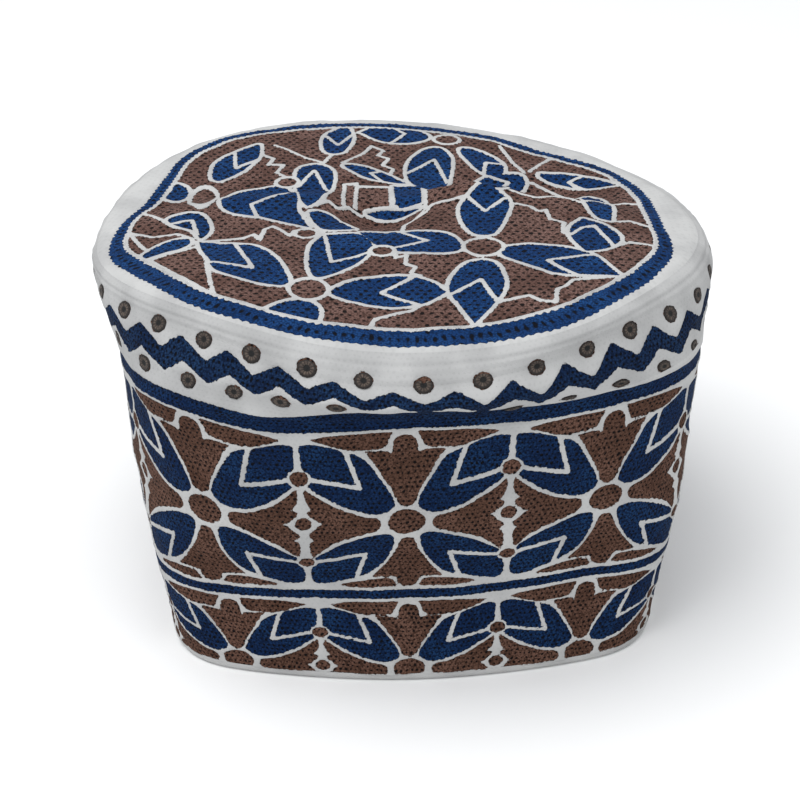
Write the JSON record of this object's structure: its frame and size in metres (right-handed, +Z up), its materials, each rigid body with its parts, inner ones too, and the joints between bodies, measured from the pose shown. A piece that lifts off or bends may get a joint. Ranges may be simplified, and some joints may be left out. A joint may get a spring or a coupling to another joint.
{
  "type": "embroidered prayer cap",
  "caption": "Tall round cloth prayer cap (kumma) with a folded crown, a rolled upper band with eyelets, an embroidered side band and a turned-in hem, standing on its rim.",
  "frame": {"origin": "under the middle of the cap's outline, on the surface that the rim stands on", "axes": "+Z up, the front of the cap faces -Y, the wearer's left is +X"},
  "size_m": [0.1786, 0.1866, 0.1175],
  "materials": {
    "hem_cloth": "off-white cotton, turned in and stitched",
    "side_embroidery": "navy and brown stitching with off-white outlines and pinholes",
    "white_cloth": "off-white cotton with brown eyelets and a blue zigzag",
    "crown_embroidery": "royal blue and brown stitching with white outlines and pinholes"
  },
  "bodies": {
    "root": {"rim_hem": "hem_cloth", "side_band": "side_embroidery", "upper_band": "white_cloth", "crown": "crown_embroidery"}
  },
  "joints": []
}
